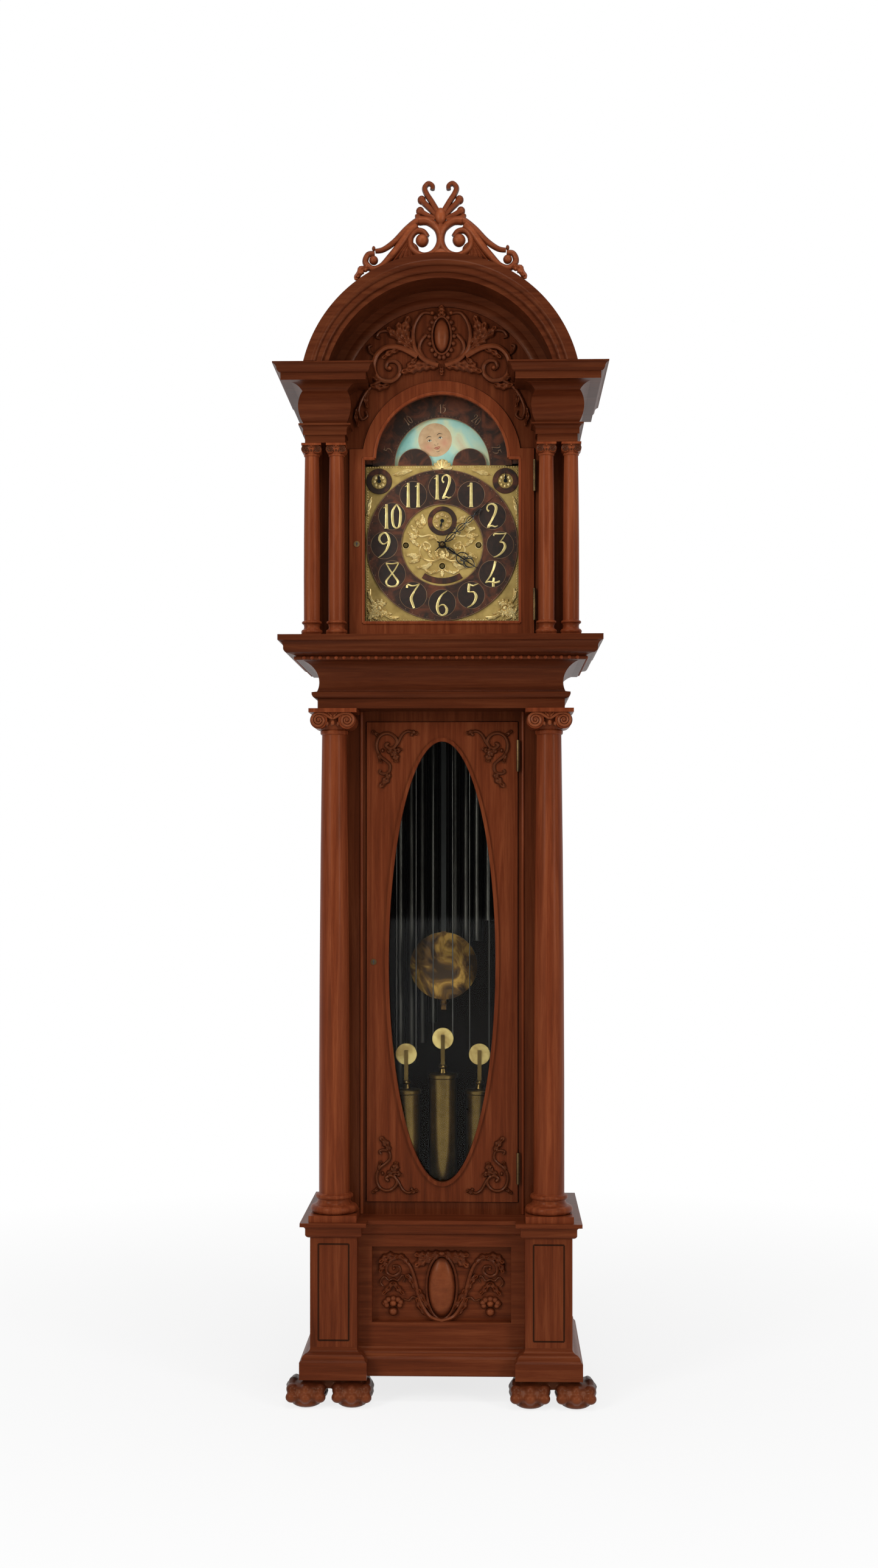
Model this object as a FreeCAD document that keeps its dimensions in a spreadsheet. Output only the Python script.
# Longcase clock with arched hood, oval-glazed trunk door and three weights.
# Millimetres, +Z up, front towards -Y, origin on the floor under the middle of the case.
import FreeCAD, Part
import math
import os
import Sketcher
from types import SimpleNamespace
from FreeCAD import Placement, Rotation, Vector

DIMENSIONS = {
    # feet and base
    "foot_height": 54, "foot_width": 166, "foot_outer": 300, "foot_front": 179, "foot_depth": 120,
    "toe_radius": 21, "paw_gap": 6, "back_foot_width": 80,
    "pier_outer": 259, "pier_inner": 166, "pier_front": 139, "pier_depth": 92, "pier_height": 216,
    "plinth_fascia": 34, "plinth_slope": 27, "plinth_reach": 20,
    "panel_front": 104, "frame_thick": 20, "panel_thick": 10, "panel_lap": 12,
    "panel_half": 138.6, "panel_bottom": 41, "panel_top": 24,
    "cap_height": 31, "cap_reach": 19, "cap_step": 9,
    "case_half": 236, "board_thick": 14, "floor_thick": 16, "floor_rise": 14,
    "back_face": 211, "back_thick": 15,
    # waist
    "column_x": 214, "column_front": 100, "column_block": 95, "column_block_height": 13,
    "column_height": 1014, "shaft_foot_radius": 30.5, "shaft_neck_radius": 24.5,
    "torus_height": 17, "torus_radius": 44, "column_base_height": 40,
    "capital_height": 51, "abacus_height": 8, "volute_radius": 17, "volute_offset": 28,
    "waist_front": 52, "stile_thick": 16,
    "door_half": 152, "door_height": 966, "door_rise": 26, "door_thick": 24, "door_proud": 4,
    "door_gap": 1.5, "light_half_width": 107.6, "light_half_height": 444,
    "bead_width": 7.5, "bead_proud": 5, "glass_thick": 4, "glass_lap": 4, "glass_depth": 10,
    # cornice over the waist
    "cornice_half": 244, "cornice_height": 139, "architrave_height": 19, "fillet_reach": 11,
    "cove_reach": 26, "cove_top": 92, "bead_reach": 38, "bead_top": 100, "cyma_reach": 52,
    "cyma_top": 128, "cornice_reach": 72,
    # hood
    "hood_column_height": 386, "inner_column_x": 208, "outer_column_x": 257, "hood_column_front": 119,
    "hood_block": 39, "hood_base_height": 36, "hood_capital_height": 25, "hood_foot_radius": 16,
    "hood_neck_radius": 14, "hood_volute_radius": 8, "hood_volute_offset": 12,
    "hood_side_inner": 240, "hood_front": 89, "hood_front_thick": 14,
    "block_inner": 190, "block_outer": 269, "frieze_foot": 36, "frieze_height": 65, "frieze_swell": 9,
    "bed_height": 13, "corona_height": 14, "crown_height": 19, "architrave_reach": 12,
    "bed_reach": 24, "corona_reach": 44, "crown_reach": 59, "crown_step": 2,
    "arch_rise": 81, "arch_radius": 275, "arch_width": 46, "arch_front": 199, "arch_depth": 100,
    "arch_step": 12, "inner_ring_width": 34, "roof_step": 19, "roof_thick": 10,
    "crest_height": 160, "crest_thick": 26, "crest_front": 185,
    "crest_volute_x": 36, "crest_volute_rise": 32, "crest_volute_radius": 34, "crest_eye_radius": 12,
    "crest_end_x": 132, "crest_end_radius": 14.5, "crest_band": 13, "plume_x": 17, "plume_radius": 21,
    "hood_door_half": 184.5, "hood_door_rise": 3, "hood_door_shoulder": 379, "hood_door_front": 94,
    "hood_arch_radius": 158.5, "hood_arch_drop": 23, "hood_stile": 30, "hood_rail": 34,
    "hood_light_radius": 132, "shoulder_lift": 3,
    # dial
    "dial_front": 44, "dial_thick": 3, "dial_half": 155, "dial_centre_rise": 197, "dial_bottom": 155,
    "moon_rise": 161, "dial_arch_radius": 131, "ring_outer": 153, "ring_inner": 82, "ring_thick": 3,
    "seconds_rise": 49, "seconds_radius": 29.5, "seconds_inner": 24, "small_x": 127.6,
    "small_rise": 129.5, "small_radius": 26, "small_inner": 18, "winding_x": 73.5, "winding_drop": 42,
    "moon_window": 96, "hump_x": 55, "hump_radius": 34, "moon_disc_radius": 100, "moon_thick": 1.5,
    "moon_behind": 3, "shell_radius": 13, "trim_margin": 2,
    "minute_length": 140, "hour_length": 86, "seconds_length": 20, "small_hand_length": 17,
    "hand_thick": 1.2, "hand_step": 3, "minute_angle": 47.6, "hour_angle": 123.8, "seconds_angle": 195,
    # movement
    "plate_half": 125, "plate_height": 232, "plate_thick": 4, "plate_front": 12, "plate_space": 56,
    "seat_rise": 67, "seat_thick": 18, "seat_front": 30, "seat_depth": 92, "pillar_radius": 6,
    "pillar_inset": 14, "dial_foot_radius": 4, "dial_foot_x": 112, "dial_foot_high": 180,
    "dial_foot_low": 22,
    "arbor_radius": 2.5, "pivot_fit": 0.06, "barrel_radius": 25, "barrel_flange": 29,
    "great_radius": 36, "winding_radius": 4, "centre_module": 0.8, "third_module": 0.75,
    "motion_distance": 24, "escape_radius": 20, "anchor_rise": 81, "hand_fit": 0.5,
    # going pieces in the trunk
    "weight_radius": 28, "weight_length": 300, "weight_rim": 30, "weight_x": 75, "weight_back": 11,
    "centre_pulley": 711, "side_pulley": 679, "pulley_radius": 21.5, "groove_radius": 18.3,
    "cable_radius": 1.2, "cable_turn": 20, "hook_length": 72,
    "pendulum_back": 76, "suspension_rise": 138, "pendulum_length": 994, "bob_radius": 70,
    "bob_thick": 28, "rod_width": 10, "rod_thick": 5, "crutch_drop": 93,
    "tube_count": 9, "tube_pitch": 23.5, "tube_radius": 9.5, "tube_wall": 1.2, "tube_back": 131,
    "tube_top": 1540, "tube_long": 935, "tube_step": 43, "hammer_rise": 50,
    # hinges and locks
    "knuckle_radius": 3.2, "hinge_pin_radius": 1.3, "hinge_length": 63, "hinge_fit": 0.05,
    "leaf_gap": 0.4, "lock_slack": 0.3, "lock_depth": 10, "lock_inset": 2,
    "air_gap": 0.4,
}

doc = FreeCAD.newDocument("longcase_clock")
sheet = doc.addObject("Spreadsheet::Sheet", "dims")


class Size:
    """A length held both as a formula on the sheet and as its value."""

    def __init__(self, formula, value):
        self.formula = formula
        self.value = value

    def __add__(self, other):
        other = as_size(other)
        return Size(f"({self.formula} + {other.formula})", self.value + other.value)

    def __sub__(self, other):
        other = as_size(other)
        return Size(f"({self.formula} - {other.formula})", self.value - other.value)

    def __mul__(self, other):
        other = as_size(other)
        return Size(f"({self.formula} * {other.formula})", self.value * other.value)

    def __truediv__(self, other):
        other = as_size(other)
        return Size(f"({self.formula} / {other.formula})", self.value / other.value)

    def __neg__(self):
        return Size(f"(0 - {self.formula})", -self.value)

    def __rsub__(self, other):
        return as_size(other) - self

    __radd__ = __add__
    __rmul__ = __mul__


def as_size(item):
    if isinstance(item, Size):
        return item
    text = f"{float(item):.6f}" if item >= 0 else f"(0 - {-float(item):.6f})"
    return Size(text, float(item))


def root(size):
    return Size(f"sqrt({size.formula})", math.sqrt(size.value))


def drive(name, value, row):
    """Write one driving dimension on the sheet and hand it back as a Size."""
    sheet.set(f"A{row}", name)
    sheet.set(f"B{row}", str(value))
    sheet.setAlias(f"B{row}", name)
    return Size(f"dims.{name}", float(value))


def level(name, size):
    """Keep a worked-out level on the sheet, in the columns beside the driving dimensions."""
    row = len(levels) + 1
    sheet.set(f"D{row}", name)
    sheet.set(f"E{row}", "=" + size.formula.replace("dims.", ""))
    sheet.setAlias(f"E{row}", name)
    levels.append(name)
    return Size(f"dims.{name}", size.value)


d = SimpleNamespace(**{name: drive(name, value, row)
                       for row, (name, value) in enumerate(DIMENSIONS.items(), start=1)})
levels = []
ZERO = as_size(0)
ALONG_X = Rotation(Vector(0, 1, 0), 90)
ALONG_Y = Rotation(Vector(1, 0, 0), -90)
FORWARD = Rotation(Vector(1, 0, 0), 90)
nodes = []


def tie(item, prop, size):
    item.setExpression(prop, as_size(size).formula)


def place(item, x=ZERO, y=ZERO, z=ZERO, turn=Rotation()):
    spot = [as_size(x), as_size(y), as_size(z)]
    item.Placement = Placement(Vector(*[size.value for size in spot]), turn)
    for axis, size in zip("xyz", spot):
        tie(item, f"Placement.Base.{axis}", size)
    return item


def publish(item, label):
    """Name a finished sub-part; its label also names its file."""
    item.Label = label
    nodes.append(item)
    return item


def box(name, x, y, z):
    """A block given by its (low, high) pair along each axis."""
    block = doc.addObject("Part::Box", name)
    for prop, (low, high) in zip(("Length", "Width", "Height"), (x, y, z)):
        tie(block, prop, as_size(high) - low)
    return place(block, x[0], y[0], z[0])


def rod(name, radius, length, x, y, z, turn=Rotation()):
    """A cylinder from its foot point, upright unless turned."""
    item = doc.addObject("Part::Cylinder", name)
    tie(item, "Radius", radius)
    tie(item, "Height", length)
    return place(item, x, y, z, turn)


def cut(name, base, *tools):
    item = doc.addObject("Part::Cut", name)
    item.Base = base
    item.Tool = tools[0] if len(tools) == 1 else fuse(name + "_tools", *tools)
    return item


def fuse(name, *shapes):
    item = doc.addObject("Part::MultiFuse", name)
    item.Shapes = list(shapes)
    return item


def common(name, *shapes):
    item = doc.addObject("Part::MultiCommon", name)
    item.Shapes = list(shapes)
    return item


def group(name, *pieces):
    """Several separate solids that make up one sub-part."""
    item = doc.addObject("Part::Compound", name)
    item.Links = list(pieces)
    return item


def add_corner_ties(sketch, geometry, position, corner):
    for kind, size in zip(("DistanceX", "DistanceY"), corner):
        index = sketch.addConstraint(Sketcher.Constraint(kind, geometry, position, size.value))
        tie(sketch, f"Constraints[{index}]", size)


def draw(sketch, points):
    """Close an outline; a third entry bulges the run that ends there to the right, a fourth is its radius."""
    corners = [(as_size(point[0]), as_size(point[1])) for point in points]
    ends = []
    for number, point in enumerate(points):
        start, end = corners[number - 1], corners[number]
        head = Vector(start[0].value, start[1].value, 0)
        tail = Vector(end[0].value, end[1].value, 0)
        if len(point) == 2:
            geometry = sketch.addGeometry(Part.LineSegment(head, tail))
            ends.append((geometry, 1, 2))
            continue
        sag = as_size(point[2])
        along = tail - head
        middle = (head + tail) * 0.5 + Vector(along.y, -along.x, 0).normalize() * sag.value
        outward = sag.value > 0
        arc = Part.Arc(head, middle, tail) if outward else Part.Arc(tail, middle, head)
        geometry = sketch.addGeometry(arc)
        ends.append((geometry, 1, 2) if outward else (geometry, 2, 1))
        run_x, run_y = end[0] - start[0], end[1] - start[1]
        chord = run_x * run_x + run_y * run_y
        depth = sag if outward else -sag
        radius = as_size(point[3]) if len(point) > 3 else (chord / 4 + depth * depth) / (depth * 2)
        index = sketch.addConstraint(Sketcher.Constraint("Radius", geometry, radius.value))
        tie(sketch, f"Constraints[{index}]", radius)
    for number, (geometry, first, last) in enumerate(ends):
        before = ends[number - 1]
        sketch.addConstraint(Sketcher.Constraint("Coincident", before[0], before[2], geometry, first))
        add_corner_ties(sketch, geometry, last, corners[number])


def draw_circle(sketch, x, y, radius):
    x, y, radius = as_size(x), as_size(y), as_size(radius)
    centre = Vector(x.value, y.value, 0)
    geometry = sketch.addGeometry(Part.Circle(centre, Vector(0, 0, 1), radius.value))
    index = sketch.addConstraint(Sketcher.Constraint("Radius", geometry, radius.value))
    tie(sketch, f"Constraints[{index}]", radius)
    add_corner_ties(sketch, geometry, 3, (x, y))


def sketch_in(body, plane, outlines, circles=()):
    sketch = body.newObject("Sketcher::SketchObject", body.Name + "_sketch")
    face = next(item for item in body.Origin.OriginFeatures if item.Role == plane)
    sketch.AttachmentSupport = [(face, "")]
    sketch.MapMode = "FlatFace"
    for points in outlines:
        draw(sketch, points)
    for circle in circles:
        draw_circle(sketch, *circle)
    return sketch


def padded(name, plane, outlines, depth, circles=(), x=ZERO, y=ZERO, z=ZERO):
    """A flat piece: an outline padded towards +Z, +Y or +X from its plane."""
    body = doc.addObject("PartDesign::Body", name)
    sketch = sketch_in(body, plane, outlines, circles)
    pad = body.newObject("PartDesign::Pad", name + "_pad")
    pad.Profile = sketch
    tie(pad, "Length", depth)
    pad.Reversed = plane == "XZ_Plane"
    return place(body, x, y, z)


def turned(name, profile, x=ZERO, y=ZERO, z=ZERO, turn=Rotation()):
    """A piece turned about its own upright axis from (radius, height) points."""
    body = doc.addObject("PartDesign::Body", name)
    sketch = sketch_in(body, "XZ_Plane", [profile])
    spin = body.newObject("PartDesign::Revolution", name + "_spin")
    spin.Profile = sketch
    spin.ReferenceAxis = (sketch, ["V_Axis"])
    spin.Angle = 360
    return place(body, x, y, z, turn)


def descending(points):
    """A rising profile travelled downwards, each arc kept on its own run."""
    falling = []
    for number in range(len(points) - 1, -1, -1):
        bulge = points[number + 1][2:] if number + 1 < len(points) else ()
        falling.append((points[number][0], points[number][1], *bulge))
    return falling


def moulded(name, x, y, profile):
    """A block whose edge moulding, (reach, height) points, returns round left, front and right."""
    reach = max((as_size(point[0]) for point in profile), key=lambda size: size.value)
    foot, top = profile[0][1], profile[-1][1]
    front = [(y[0] - point[0], *point[1:]) for point in profile]
    right = [(x[1] + point[0], *point[1:]) for point in profile]
    left = [(x[0] - point[0], *point[1:]) for point in profile]
    lengthwise = padded(name + "_front", "YZ_Plane", [[(y[1], foot), (y[1], top)] + descending(front)],
                        x[1] - x[0] + reach * 4, x=x[0] - reach * 2)
    sides = padded(name + "_sides", "XZ_Plane", [right + descending(left)],
                   y[1] - y[0] + reach * 4, y=y[0] - reach * 2)
    return common(name, lengthwise, sides)


def both_sides(make):
    """Call a maker for the left and the right hand; sign is -1 or +1."""
    return [make(sign, hand) for sign, hand in ((-1, "left"), (1, "right"))]


def span(sign, near, far):
    """The (low, high) pair of a stretch measured outwards from the middle."""
    return (as_size(near), as_size(far)) if sign > 0 else (-as_size(far), -as_size(near))


# Levels, from the floor up
plinth_foot = d.foot_height
base_foot = level("base_foot", plinth_foot + d.plinth_fascia + d.plinth_slope)
base_top = level("base_top", base_foot + d.pier_height)
waist_foot = level("waist_foot", base_top + d.cap_height)
cornice_foot = level("cornice_foot", waist_foot + d.column_height)
hood_foot = level("hood_foot", cornice_foot + d.cornice_height)
entablature_foot = level("entablature_foot", hood_foot + d.hood_column_height)
frieze_top = level("frieze_top", entablature_foot + d.frieze_foot + d.frieze_height)
corona_foot = level("corona_foot", frieze_top + d.bed_height)
crown_foot = level("crown_foot", corona_foot + d.corona_height)
crown_top = level("crown_top", crown_foot + d.crown_height)
arch_centre = level("arch_centre", entablature_foot + d.arch_rise)
arch_top = level("arch_top", arch_centre + d.arch_radius)
dial_centre = level("dial_centre", hood_foot + d.dial_centre_rise)
moon_centre = level("moon_centre", dial_centre + d.moon_rise)
seat_foot = level("seat_foot", hood_foot + d.seat_rise)
seat_top = level("seat_top", seat_foot + d.seat_thick)
back_inner = level("back_inner", d.back_face - d.back_thick)
doc.recompute()


def half_ball(name, wide, high, proud, x, y, z):
    """Half an ellipsoid standing proud of a face that looks to the front."""
    item = doc.addObject("Part::Ellipsoid", name)
    for prop, size in (("Radius1", proud), ("Radius2", wide), ("Radius3", high)):
        tie(item, prop, size)
    item.Angle1 = 0
    return place(item, x, y, z, FORWARD)


def paw(name, low, high):
    """One paw: three rounded toes in plan, with a back that rises to the plinth."""
    toe = (high - low) / 3
    bulge = d.toe_radius * 0.4
    knuckle = -d.foot_front + bulge
    heel = -d.foot_front + d.foot_depth
    plan = padded(name + "_plan", "XY_Plane", [[
        (low, knuckle), (low + toe, knuckle, bulge), (low + toe * 2, knuckle, bulge), (high, knuckle, bulge),
        (high, heel), (low, heel)]], plinth_foot)
    side = padded(name + "_side", "YZ_Plane", [[
        (-d.foot_front, ZERO), (heel, ZERO), (heel, plinth_foot), (knuckle + d.toe_radius * 1.6, plinth_foot),
        (-d.foot_front, plinth_foot * 0.3, d.toe_radius * 0.45)]], high - low, x=low)
    return common(name, plan, side)


def paw_foot(sign, hand):
    """A front corner foot: two paws side by side under one ankle block."""
    wide = d.foot_width / 2
    paws = []
    for number in range(2):
        inner = d.foot_outer - d.foot_width + wide * number
        paws.append(paw(f"paw_{hand}_{number}", *span(sign, inner + d.paw_gap / 2,
                                                      inner + wide - d.paw_gap / 2)))
    ankle = box(f"ankle_{hand}", span(sign, d.foot_outer - d.foot_width + d.paw_gap,
                                      d.foot_outer - d.paw_gap),
                (-d.foot_front + d.toe_radius * 2, -d.foot_front + d.foot_depth - d.paw_gap),
                (plinth_foot * 0.6, plinth_foot))
    return fuse(f"paw_foot_{hand}", *paws, ankle)


def back_foot(sign, hand):
    return box(f"back_foot_{hand}", span(sign, d.foot_outer - d.back_foot_width,
                                         d.foot_outer - d.plinth_reach),
               (d.back_face - d.back_foot_width, d.back_face), (ZERO, plinth_foot))


publish(group("feet", *both_sides(paw_foot), *both_sides(back_foot)), "paw_feet")


def broken_front(name, profile, middle_back):
    """A base moulding that steps forward round both piers, runs back along the sides and is hollow behind."""
    foot, top = profile[0][1], profile[-1][1]
    blocks = both_sides(lambda sign, hand: moulded(
        f"{name}_{hand}", span(sign, d.pier_inner, d.pier_outer), (-d.pier_front, d.back_face), profile))
    middle_profile = [(-d.panel_front - point[0], *point[1:]) for point in profile]
    lapped = d.pier_inner + d.board_thick
    middle = padded(name + "_middle", "YZ_Plane",
                    [[(middle_back, foot), (middle_back, top)] + descending(middle_profile)],
                    lapped * 2, x=-lapped)
    hollow = box(name + "_hollow", (-d.case_half, d.case_half), (middle_back, d.back_face), (foot, top))
    return cut(name, fuse(name + "_run", *blocks, middle), hollow)


fascia_top = plinth_foot + d.plinth_fascia
publish(broken_front("plinth", [
    (d.plinth_reach, plinth_foot), (d.plinth_reach, fascia_top),
    (d.plinth_reach * 0.8, fascia_top + d.plinth_slope * 0.15),
    (d.plinth_reach * 0.35, fascia_top + d.plinth_slope * 0.6, d.plinth_reach * 0.12),
    (ZERO, base_foot, -d.plinth_reach * 0.12)], -d.panel_front + d.frame_thick), "base_plinth")
publish(broken_front("cap", [
    (ZERO, base_top), (d.cap_step, base_top + d.cap_height * 0.2, d.cap_step * 0.2),
    (d.cap_step, base_top + d.cap_height * 0.6),
    (d.cap_reach, base_top + d.cap_height * 0.75, -d.cap_step * 0.2),
    (d.cap_reach, waist_foot)], -d.waist_front + d.stile_thick), "base_cap_moulding")

inside = (-d.case_half, d.case_half)
floor_foot = plinth_foot + d.floor_rise
publish(group(
    "carcase",
    *both_sides(lambda sign, hand: box(f"pier_{hand}", span(sign, d.pier_inner, d.pier_outer),
                                       (-d.pier_front, -d.pier_front + d.pier_depth), (base_foot, base_top))),
    *both_sides(lambda sign, hand: box(f"base_side_{hand}", span(sign, d.case_half,
                                                                 d.case_half + d.board_thick),
                                       (-d.pier_front + d.pier_depth, d.back_face), (base_foot, base_top))),
    box("floor", inside, (-d.panel_front + d.frame_thick, back_inner),
        (floor_foot, floor_foot + d.floor_thick)),
), "base_carcase")

light_foot, light_head = base_foot + d.panel_bottom, base_top - d.panel_top
panel_face = -d.panel_front + d.frame_thick
frame = cut("base_frame",
            box("base_frame_board", (-d.pier_inner, d.pier_inner), (-d.panel_front, panel_face),
                (base_foot, base_top)),
            box("base_frame_light", (-d.panel_half, d.panel_half), (-d.panel_front, panel_face),
                (light_foot, light_head)))
panel = box("base_panel", (-d.panel_half - d.panel_lap, d.panel_half + d.panel_lap),
            (panel_face, panel_face + d.panel_thick), (light_foot - d.panel_lap, light_head + d.panel_lap))
publish(group("base_front", frame, panel), "base_front_panel")


def scroll_pair(name, face, x, z, radius, proud):
    """A carved spiral each side of the middle: a disc with a raised eye."""
    parts = []
    for sign in (-1, 1):
        parts.append(rod(f"{name}_disc_{sign + 1}", radius, proud * 0.6, x * sign, face, z, FORWARD))
        parts.append(half_ball(f"{name}_eye_{sign + 1}", radius * 0.5, radius * 0.5, proud, x * sign, face,
                               z))
    return parts


panel_middle = (light_foot + light_head) / 2
panel_high = light_head - light_foot
carve = panel_high / 2
stem = [half_ball(f"base_stem_{sign + 1}", carve * 0.62, carve * 0.14, carve * 0.12,
                  carve * 0.75 * sign, panel_face, panel_middle - carve * 0.55) for sign in (-1, 1)]
leaf = [half_ball(f"base_leaf_{sign + 1}", carve * 0.36, carve * 0.22, carve * 0.13,
                  carve * 0.62 * sign, panel_face, panel_middle + carve * 0.42) for sign in (-1, 1)]
publish(fuse(
    "base_relief",
    half_ball("cartouche", carve * 0.36, carve * 0.86, carve * 0.2, ZERO, panel_face, panel_middle),
    *scroll_pair("base_scroll", panel_face, carve * 1.25, panel_middle + carve * 0.42, carve * 0.3,
                 carve * 0.18),
    *scroll_pair("base_drop", panel_face, carve * 1.25, panel_middle - carve * 0.4, carve * 0.22,
                 carve * 0.14),
    *stem, *leaf), "base_carving")

publish(group("waist_boards", *both_sides(lambda sign, hand: box(
    f"waist_side_{hand}", span(sign, d.case_half - d.board_thick, d.case_half),
    (-d.waist_front + d.stile_thick, back_inner), (waist_foot, seat_foot)))), "waist_sides")

door_foot = waist_foot + d.door_rise
door_head = door_foot + d.door_height
stile_edge = d.door_half + d.door_gap
stile_depth = (-d.waist_front, -d.waist_front + d.stile_thick)
publish(group(
    "waist_frame",
    *both_sides(lambda sign, hand: box(f"waist_stile_{hand}", span(sign, stile_edge, d.case_half),
                                       stile_depth, (waist_foot, cornice_foot))),
    box("waist_sill", (-stile_edge, stile_edge), stile_depth, (waist_foot, door_foot - d.door_gap)),
    box("waist_header", (-stile_edge, stile_edge), stile_depth, (door_head + d.door_gap, cornice_foot)),
), "waist_front_frame")


def column(name, x, y, foot, sizes):
    """A turned column: square plinth and mouldings, swelling shaft, scrolled capital."""
    s = SimpleNamespace(**sizes)
    half = s.block / 2
    head = foot + s.height
    plinth = box(name + "_plinth", (x - half, x + half), (y - half, y + half), (foot, foot + s.block_height))
    base_head = foot + s.base_height + s.block_height
    torus_head = foot + s.block_height + s.torus_height
    neck = head - s.capital_height
    base = turned(name + "_base", [
        (ZERO, s.block_height), (s.torus * 0.9, s.block_height),
        (s.torus * 0.9, torus_head - foot, s.torus_height * 0.45),
        (s.foot_radius * 1.08, base_head - foot - s.torus_height * 0.7, -s.torus_height * 0.15),
        (s.foot_radius * 1.08, base_head - foot - s.torus_height * 0.1, s.torus_height * 0.28),
        (s.foot_radius, base_head - foot), (ZERO, base_head - foot)], x, y, foot)
    shaft = turned(name + "_shaft", [
        (ZERO, base_head - foot), (s.foot_radius, base_head - foot),
        (s.neck_radius, neck - foot, s.foot_radius * 0.06), (ZERO, neck - foot)], x, y, foot)
    echinus = turned(name + "_echinus", [
        (ZERO, neck - foot), (s.neck_radius, neck - foot),
        (s.neck_radius * 1.12, neck - foot + s.capital_height * 0.1, s.neck_radius * 0.05),
        (s.neck_radius * 1.02, neck - foot + s.capital_height * 0.2, s.neck_radius * 0.05),
        (s.neck_radius * 1.3, head - foot - s.abacus, s.neck_radius * 0.08), (ZERO, head - foot - s.abacus)],
        x, y, foot)
    scroll_z = head - s.abacus - s.volute * 0.9
    depth = s.block * 0.84
    scrolls = [rod(f"{name}_volute_{side + 1}", s.volute, depth, x + s.volute_offset * side, y - depth / 2,
                   scroll_z, ALONG_Y) for side in (-1, 1)]
    cushion = box(name + "_cushion", (x - s.volute_offset, x + s.volute_offset),
                  (y - depth / 2, y + depth / 2),
                  (head - s.abacus - s.volute * 0.6, head - s.abacus))
    abacus = box(name + "_abacus", (x - half, x + half), (y - half, y + half), (head - s.abacus, head))
    capital = fuse(name + "_capital", echinus, *scrolls, cushion, abacus)
    return [fuse(name + "_foot", plinth, base), shaft, capital]


WAIST_COLUMN = dict(
    block=d.column_block, block_height=d.column_block_height, base_height=d.column_base_height,
    torus=d.torus_radius, torus_height=d.torus_height, height=d.column_height,
    foot_radius=d.shaft_foot_radius, neck_radius=d.shaft_neck_radius,
    capital_height=d.capital_height, abacus=d.abacus_height, volute=d.volute_radius,
    volute_offset=d.volute_offset)
HOOD_COLUMN = dict(
    block=d.hood_block, block_height=d.hood_base_height * 0.25, base_height=d.hood_base_height * 0.75,
    torus=d.hood_block * 0.48, torus_height=d.hood_base_height * 0.27, height=d.hood_column_height,
    foot_radius=d.hood_foot_radius, neck_radius=d.hood_neck_radius,
    capital_height=d.hood_capital_height, abacus=d.hood_capital_height * 0.18,
    volute=d.hood_volute_radius, volute_offset=d.hood_volute_offset)
waist_columns = both_sides(lambda sign, hand: column(
    f"waist_column_{hand}", d.column_x * sign, -d.column_front, waist_foot, WAIST_COLUMN))
publish(group("waist_pair", *waist_columns[0], *waist_columns[1]), "waist_columns")
hood_columns = []
for row, spot in (("inner", d.inner_column_x), ("outer", d.outer_column_x)):
    for sign, hand in ((-1, "left"), (1, "right")):
        hood_columns += column(f"hood_column_{row}_{hand}", spot * sign, -d.hood_column_front, hood_foot,
                               HOOD_COLUMN)
publish(group("hood_set", *hood_columns), "hood_columns")

cornice_hollow = box("cornice_hollow", inside, (-d.waist_front + d.stile_thick, d.back_face),
                     (cornice_foot, hood_foot))
cornice_levels = [
    (ZERO, ZERO), (ZERO, d.architrave_height),
    (d.fillet_reach, d.architrave_height * 1.45, d.fillet_reach * 0.25),
    (d.fillet_reach, d.architrave_height * 1.65), (d.fillet_reach * 0.1, d.architrave_height * 1.75),
    (d.cove_reach, d.cove_top, -d.cove_reach * 0.55), (d.bead_reach, d.cove_top),
    (d.bead_reach, d.bead_top, (d.bead_top - d.cove_top) * 0.4), (d.cyma_reach, d.bead_top + 4),
    ((d.cyma_reach + d.cornice_reach) / 2, (d.bead_top + d.cyma_top) / 2, d.fillet_reach * 0.3),
    (d.cornice_reach, d.cyma_top, -d.fillet_reach * 0.3), (d.cornice_reach, d.cornice_height)]
publish(cut("cornice", moulded(
    "cornice_block", (-d.cornice_half, d.cornice_half), (-d.pier_front, d.back_face),
    [(step[0], cornice_foot + step[1], *step[2:]) for step in cornice_levels]), cornice_hollow),
    "waist_cornice")


# Hood carcase
board_back = -d.hood_front + d.hood_front_thick
roof_radius = level("roof_radius", d.arch_radius - d.roof_step)
arch_board_radius = level("arch_board_radius", roof_radius - d.roof_thick - d.air_gap)


def arched_outline(half, foot, clear=ZERO, shoulder=crown_top, centre=arch_centre, radius=arch_board_radius):
    """Upright sides to the shoulder, then one arch between the shoulders."""
    radius = radius + clear
    shoulder = shoulder + clear
    rise = shoulder - centre
    spring = root(radius * radius - rise * rise)
    half = half + clear
    return [(-half, foot), (half, foot), (half, shoulder), (spring, shoulder),
            (-spring, shoulder, radius - rise, radius), (-half, shoulder)]


hood_door_foot = level("hood_door_foot", hood_foot + d.hood_door_rise)
hood_shoulder = level("hood_shoulder", hood_door_foot + d.hood_door_shoulder)
hood_arch_centre = level("hood_arch_centre", hood_shoulder - d.hood_arch_drop)


def hood_door_outline(foot, clear=ZERO):
    return arched_outline(d.hood_door_half, foot, clear, hood_shoulder, hood_arch_centre, d.hood_arch_radius)


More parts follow.
